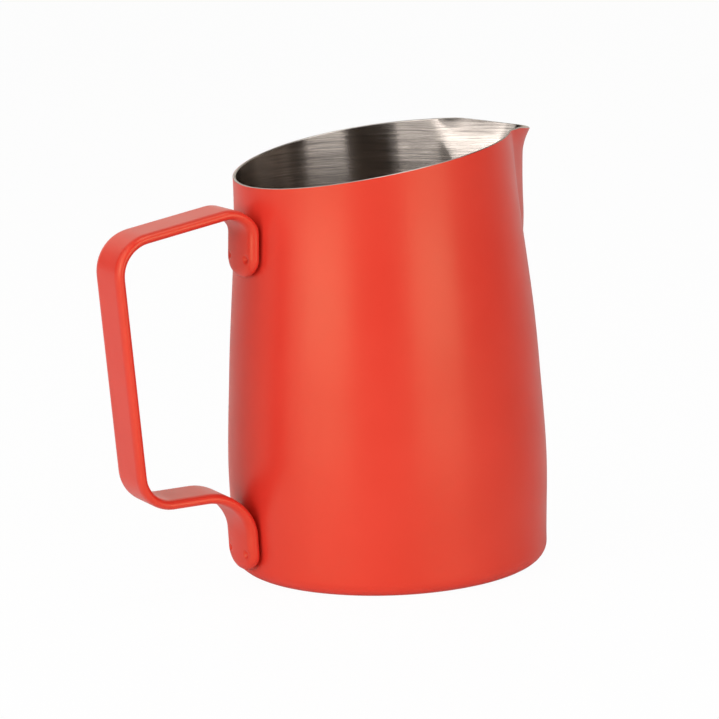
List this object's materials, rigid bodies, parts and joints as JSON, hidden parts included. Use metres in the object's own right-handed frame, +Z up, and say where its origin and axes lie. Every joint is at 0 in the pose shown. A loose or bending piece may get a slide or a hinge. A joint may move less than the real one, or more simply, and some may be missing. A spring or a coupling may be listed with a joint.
{
  "type": "milk frothing pitcher",
  "caption": "Tapered steel pitcher with a slanted mouth, a pressed pouring spout and a welded strip handle, coated outside, for steaming and pouring milk.",
  "frame": {"origin": "middle of the base, on the face the pitcher stands on", "axes": "+Z up, +X towards the spout, so the handle is on the -X side"},
  "size_m": [0.1174, 0.081, 0.1092],
  "materials": {
    "red_coat": "satin orange-red powder coat",
    "bare_steel": "bare stainless steel, brushed round the inside",
    "weld_steel": "dull weld metal"
  },
  "bodies": {
    "root": {"vessel": "red_coat", "handle": "red_coat", "weld_upper_left": "weld_steel", "weld_upper_right": "weld_steel", "weld_lower_left": "weld_steel", "weld_lower_right": "weld_steel"}
  },
  "joints": []
}
